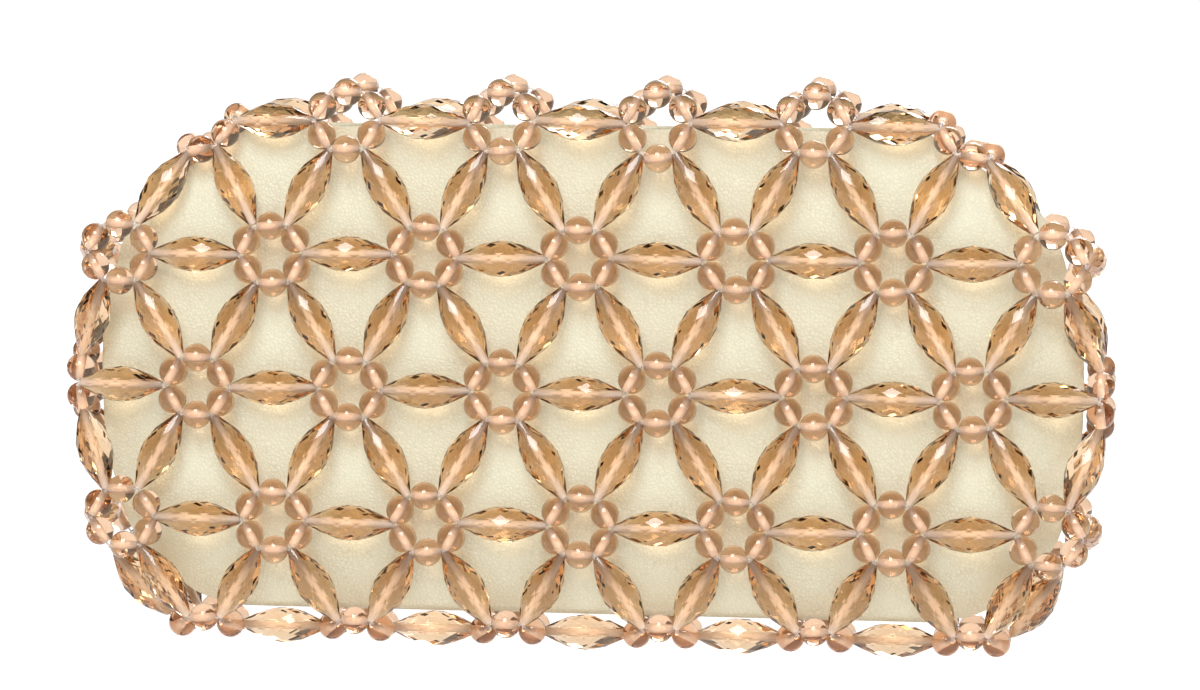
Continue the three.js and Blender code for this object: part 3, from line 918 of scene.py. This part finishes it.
class BAG_OT_pouch(bpy.types.Operator):
    """Builds the leather panels and their linings, and gives the boards between them their finish"""

    bl_idname = "bag.pouch"
    bl_label = "Pouch"

    def execute(self, context):
        pouch = context.scene.bag_pouch
        materials = finishes()
        hide, cloth, cloth_thickness = materials["pebbled_leather"], materials["woven_lining"], 0.3 * MM
        for face, side in (("front", -1), ("back", 1)):
            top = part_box(f"leather_{face}")[1][2]
            made, cut = panel(f"leather_panel_{face}", side, top, 0, pouch.leather, hide)
            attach(made, BODY)
            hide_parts(f"leather_{face}")
            low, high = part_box(f"lining_{face}")
            inset = pouch.half_depth - max(abs(low[1]), abs(high[1]))
            lining, cut = panel(f"lining_sheet_{face}", side, high[2], inset, cloth_thickness, cloth)
            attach(lining, BODY)
            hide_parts(f"lining_{face}")
            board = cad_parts[f"board_{face}"]
            board.data.materials.clear()
            board.data.materials.append(materials["fibre_board"])
        return {"FINISHED"}


def box_mesh(bm, low, high):
    """Adds a box between two corners to a bmesh."""
    corners = [(x, y, z) for x in (low[0], high[0]) for y in (low[1], high[1]) for z in (low[2], high[2])]
    verts = [bm.verts.new(c) for c in corners]
    for quad in ((0, 1, 3, 2), (4, 6, 7, 5), (0, 4, 5, 1), (2, 3, 7, 6), (0, 2, 6, 4), (1, 5, 7, 3)):
        bm.faces.new([verts[i] for i in quad])


def bmesh_object(name, bm, material, bevel):
    """A mesh piece from a bmesh, with its edges rounded."""
    bmesh.ops.recalc_face_normals(bm, faces=bm.faces)
    bmesh.ops.bevel(bm, geom=bm.edges[:], offset=bevel, segments=2, profile=0.6, affect="EDGES")
    data = bpy.data.meshes.new(name)
    bm.to_mesh(data)
    bm.free()
    data.materials.append(material)
    data.polygons.foreach_set("use_smooth", np.ones(len(data.polygons), bool))
    made = bpy.data.objects.new(name, data)
    bpy.context.scene.collection.objects.link(made)
    made.data.set_sharp_from_angle(angle=math.radians(35))
    return made


class BAG_OT_zip(bpy.types.Operator):
    """Builds the zip: woven tapes, separate teeth, stops, slider and pull"""

    bl_idname = "bag.zip"
    bl_label = "Zip"

    def execute(self, context):
        materials = finishes()
        pitch, tooth, reach, half_height = 1.6 * MM, 0.72 * MM, 0.28 * MM, 0.9 * MM
        tooth_bevel, casting_bevel, weld = 0.12 * MM, 0.16 * MM, 0.01 * MM
        for number, (face, side) in enumerate((("front", -1), ("back", 1))):
            low, high = [Vector(c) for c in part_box(f"zip_teeth_{face}")]
            outer = max(abs(low.y), abs(high.y))
            near, far = sorted((side * reach, side * outer))
            middle = (low.z + high.z) / 2
            bm = bmesh.new()
            # The two rows of teeth are half a pitch apart, so that they mesh.
            for i in range(int((high.x - low.x) / pitch)):
                x = low.x + pitch * (i + 0.25 + 0.5 * number)
                if x + tooth < high.x:
                    box_mesh(bm, (x, near, middle - half_height), (x + tooth, far, middle + half_height))
            teeth = bmesh_object(f"teeth_{face}", bm, materials["plated_metal"], tooth_bevel)
            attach(teeth, BODY)
            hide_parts(f"zip_teeth_{face}")
            low, high = [Vector(c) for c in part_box(f"zip_tape_{face}")]
            tape, width = tape_sheet(f"tape_{face}", side, low, high, materials["woven_tape"])
            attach(tape, BODY)
            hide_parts(f"zip_tape_{face}")
        for node, body in HARDWARE.items():
            bm = bmesh.new()
            bm.from_mesh(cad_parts[node].data)
            bmesh.ops.remove_doubles(bm, verts=bm.verts, dist=weld)
            bmesh.ops.dissolve_limit(bm, angle_limit=math.radians(2), verts=bm.verts, edges=bm.edges)
            made = bmesh_object(node + "_polished", bm, materials["plated_metal"], casting_bevel)
            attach(made, body)
            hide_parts(node)
        return {"FINISHED"}


class BAG_OT_stage(bpy.types.Operator):
    """Sets the floor, the soft studio lights and the camera"""

    bl_idname = "bag.stage"
    bl_label = "Stage"

    def execute(self, context):
        scene = context.scene
        floor, tree = new_material("pale_floor")
        body = add_node(
            tree,
            "ShaderNodeBsdfPrincipled",
            {
                "Base Color": list(scene.bag_colours.floor),
                "Roughness": 0.8,
                "Emission Color": (1, 1, 1, 1),
                "Emission Strength": 0.88,
            },
        )
        add_node(tree, "ShaderNodeOutputMaterial", links={"Surface": body.outputs[0]})
        # In metres: half its width, its near edge, where it starts to rise, that bend's radius, its top.
        half, near, wall, sweep, top = 0.8, -3.0, 1.2, 0.6, 2.5
        turns = np.linspace(0, math.pi / 2, 16)
        curve = [(near, 0.0)] + [(wall + sweep * math.sin(t), sweep * (1 - math.cos(t))) for t in turns]
        curve.append((wall + sweep, top))
        points = [(x, y, z) for y, z in curve for x in (-half, half)]
        faces = [[2 * i, 2 * i + 1, 2 * i + 3, 2 * i + 2] for i in range(len(curve) - 1)]
        mesh_object("floor", points, faces, [floor])

        world = bpy.data.worlds.new("studio")
        world.use_nodes = True
        tree = world.node_tree
        tree.nodes["Background"].inputs["Color"].default_value = (1, 1, 1, 1)
        # The backdrop is white, but it adds only a little light, so that the lamps give the shading.
        seen = add_node(tree, "ShaderNodeLightPath").outputs["Is Camera Ray"]
        dim = add_node(tree, "ShaderNodeMapRange", {"To Min": 0.18}, {"Value": seen})
        tree.links.new(dim.outputs[0], tree.nodes["Background"].inputs["Strength"])
        scene.world = world
        scene.view_settings.view_transform = "Standard"
        target = Vector((0, 0, 0.06))
        for name, place, width, power in (
            ("key", (-0.05, -0.95, 0.95), 0.6, 14.5),
            ("fill", (0.9, -0.9, 0.35), 0.5, 1.2),
            ("rear", (0.2, 1.0, 0.8), 0.6, 7),
        ):
            data = bpy.data.lights.new(name, "AREA")
            data.size, data.energy = width, power
            lamp = bpy.data.objects.new(name, data)
            lamp.location = place
            lamp.rotation_euler = (target - Vector(place)).to_track_quat("-Z", "Y").to_euler()
            scene.collection.objects.link(lamp)

        data = bpy.data.cameras.new("camera")
        data.sensor_width, data.lens = 36, 136.2
        camera = bpy.data.objects.new("camera", data)
        azimuth, elevation, distance = math.radians(8), math.radians(7), 1.0
        level = math.cos(elevation)
        away = Vector((math.sin(azimuth) * level, -math.cos(azimuth) * level, math.sin(elevation)))
        aim = Vector((0.0031, 0, 0.0684))
        camera.location = aim + away * distance
        camera.rotation_euler = (-away).to_track_quat("-Z", "Y").to_euler()
        scene.collection.objects.link(camera)
        scene.camera = camera
        return {"FINISHED"}


class BAG_PT_panel(bpy.types.Panel):
    """Lists the bag's pieces, sizes and colours"""

    bl_label = "Evening Bag"
    bl_idname = "BAG_PT_panel"
    bl_space_type = "VIEW_3D"
    bl_region_type = "UI"
    bl_category = "Evening Bag"

    def draw(self, context):
        for kind in OPERATORS:
            self.layout.operator(kind.bl_idname)
        for group in GROUPS:
            box = self.layout.box()
            held = getattr(context.scene, group)
            for name in held.bl_rna.properties.keys():
                if name not in ("rna_type", "name"):
                    box.prop(held, name)


OPERATORS = (BAG_OT_stage, BAG_OT_beads, BAG_OT_line, BAG_OT_pouch, BAG_OT_zip)
GROUPS = {"bag_beads": BeadSizes, "bag_net": NetSizes, "bag_pouch": PouchSizes, "bag_colours": Colours}


def register():
    for kind in (*GROUPS.values(), *OPERATORS, BAG_PT_panel):
        bpy.utils.register_class(kind)
    for name, kind in GROUPS.items():
        setattr(bpy.types.Scene, name, PointerProperty(type=kind))


def unregister():
    for name in GROUPS:
        delattr(bpy.types.Scene, name)
    for kind in reversed((*GROUPS.values(), *OPERATORS, BAG_PT_panel)):
        bpy.utils.unregister_class(kind)


def main():
    register()
    bpy.ops.bag.stage()
    bpy.ops.bag.beads()
    bpy.ops.bag.line()
    bpy.ops.bag.pouch()
    bpy.ops.bag.zip()
    bpy.context.view_layer.update()


if __name__ == "__main__":
    main()
